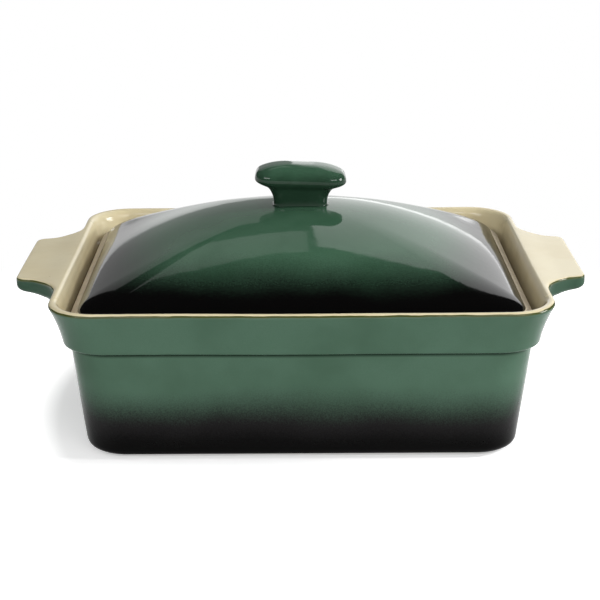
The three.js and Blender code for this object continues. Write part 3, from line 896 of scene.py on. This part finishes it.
def add_panel(name, place, target, size, radiance, mirrored=True):
    """A flat soft light. The camera doesn't see it, and glossy surfaces do if it is mirrored."""
    lamp = bpy.data.lights.new(name, "AREA")
    lamp.shape = "RECTANGLE"
    lamp.size, lamp.size_y = size
    lamp.energy = radiance * math.pi * size[0] * size[1]
    panel = bpy.data.objects.new(name, lamp)
    bpy.context.scene.collection.objects.link(panel)
    panel.location = place
    panel.rotation_mode = "QUATERNION"
    panel.rotation_quaternion = (Vector(target) - Vector(place)).to_track_quat("-Z", "Y")
    panel.visible_camera = False
    panel.visible_glossy = mirrored
    return panel


def add_lights():
    add_panel("key_right", AIM + way(80, 35) * 3, AIM, size=(0.4, 0.4), radiance=75, mirrored=False)
    add_panel("key_left", AIM + way(-88, 34) * 1.25, AIM, size=(0.24, 0.24), radiance=6, mirrored=False)
    for side in (-1, 1):
        add_panel("strip", AIM + way(32 * side, 28) * 1.25, AIM, size=(0.9, 0.14), radiance=7)
    right = Vector((0.53, 1.39, 2.27))
    facing = right + Vector((-0.33, -0.92, 0.2))
    add_panel("back_right", right, facing, size=(0.85, 4.36), radiance=1.35)
    level = Vector((0, 0, 0.7))
    add_panel("back_left", way(-165, 0) * 1.3 + level, level, size=(0.86, 1.02), radiance=0.36)
    top, below_top = Vector((-0.2, 0.74, 1.5)), Vector((-0.2, 0.73, 0))
    add_panel("back_top", top, below_top, size=(0.5, 0.58), radiance=0.55)
    add_panel("window", AIM + way(86, 20) * 1.2, AIM, size=(0.42, 0.31), radiance=12)
    add_panel("front", AIM + way(4, 22) * 1.9, AIM, size=(2.2, 1.2), radiance=1.9, mirrored=False)
    add_panel("above", Vector((0, 0, 2)), AIM, size=(1.6, 1.6), radiance=0.7, mirrored=False)


def set_world():
    """A studio that is bright along the horizon and dark above. The camera sees plain white."""
    world = bpy.data.worlds.new("studio")
    bpy.context.scene.world = world
    world.use_nodes = True
    tree = world.node_tree
    place = tree.nodes.new("ShaderNodeTexCoord")
    split = tree.nodes.new("ShaderNodeSeparateXYZ")
    tree.links.new(place.outputs["Generated"], split.inputs[0])
    height = tree.nodes.new("ShaderNodeMapRange")
    height.interpolation_type = "SMOOTHSTEP"
    ends = {"From Min": HORIZON[0], "From Max": HORIZON[1], "To Min": HORIZON_GLOW, "To Max": DARK_ABOVE}
    for key, value in ends.items():
        height.inputs[key].default_value = value
    tree.links.new(split.outputs["Z"], height.inputs["Value"])
    path = tree.nodes.new("ShaderNodeLightPath")
    strength = tree.nodes.new("ShaderNodeMath")
    strength.operation = "MAXIMUM"
    tree.links.new(path.outputs["Is Camera Ray"], strength.inputs[0])
    tree.links.new(height.outputs["Result"], strength.inputs[1])
    background = tree.nodes["Background"]
    background.inputs["Color"].default_value = WHITE
    tree.links.new(strength.outputs["Value"], background.inputs["Strength"])


def add_floor():
    """A white sweep. Close to the dish it takes light and shadow, and farther out it is plain white."""
    mesh = bpy.data.meshes.new("floor")
    corners = [(sx * FLOOR_HALF, sy * FLOOR_HALF, 0) for sx, sy in ((-1, -1), (1, -1), (1, 1), (-1, 1))]
    mesh.from_pydata(corners, [], [(0, 1, 2, 3)])
    floor = bpy.data.objects.new("floor", mesh)
    floor.location.z = -FLOOR_DROP
    bpy.context.scene.collection.objects.link(floor)
    s = Shading("floor_white")
    path = s.tree.nodes.new("ShaderNodeLightPath")
    direct = path.outputs["Is Camera Ray"]
    mirrored = s.math("MAXIMUM", path.outputs["Is Glossy Ray"], path.outputs["Is Transmission Ray"])
    seen = s.math("MAXIMUM", direct, mirrored)
    stretched = s.node("ShaderNodeVectorMath", {0: s.place, 1: FLOOR_STRETCH}, operation="MULTIPLY")
    distance = s.node("ShaderNodeVectorMath", {0: stretched}, output="Value", operation="LENGTH")
    far_glow = s.math("MULTIPLY", seen, s.ramp(distance, *GLOW_RANGE))
    glow = s.math("MAXIMUM", far_glow, s.math("MULTIPLY", direct, NEAR_GLOW))
    unlit = s.math("MULTIPLY", seen, s.ramp(distance, *UNLIT_RANGE))
    clouds = s.ramp(s.noise(300, 2), 0.3, 0.7, 0, 1, False)
    tone = s.mix(unlit, s.mix(clouds, FLOOR_TONE, FLOOR_TONE_PALE), (0, 0, 0, 1))
    s.finish(Base_Color=tone, Roughness=0.9, Specular_IOR_Level=0)
    paint = s.finish(Emission_Color=WHITE, Emission_Strength=glow)
    mesh.materials.append(paint)


def add_camera():
    """A viewpoint slightly above the lid, square to the front of the dish."""
    ahead = math.cos(CAMERA_PITCH)
    forward = Vector((math.sin(CAMERA_YAW) * ahead, math.cos(CAMERA_YAW) * ahead, -math.sin(CAMERA_PITCH)))
    right = Vector((math.cos(CAMERA_YAW), -math.sin(CAMERA_YAW), 0))
    up = right.cross(forward)
    turned_right = math.cos(CAMERA_ROLL) * right + math.sin(CAMERA_ROLL) * up
    turned_up = math.cos(CAMERA_ROLL) * up - math.sin(CAMERA_ROLL) * right
    data = bpy.data.cameras.new("camera")
    data.sensor_width = SENSOR_WIDTH
    data.lens = LENS
    camera = bpy.data.objects.new("camera", data)
    axes = Matrix((turned_right, turned_up, -forward)).transposed().to_4x4()
    camera.matrix_world = Matrix.Translation(CAMERA_PLACE) @ axes
    bpy.context.scene.collection.objects.link(camera)
    bpy.context.scene.camera = camera


add_camera()
clay = bare_clay()
glaze = dish_glaze()
make_dish(glaze)
make_foot(clay)
make_handle("handle_right", 1, glaze)
make_handle("handle_left", -1, glaze)
make_lid(lid_glaze())
make_brim(clay)
make_knob(knob_glaze())
add_lights()
set_world()
add_floor()
bpy.context.scene.view_settings.view_transform = "Standard"
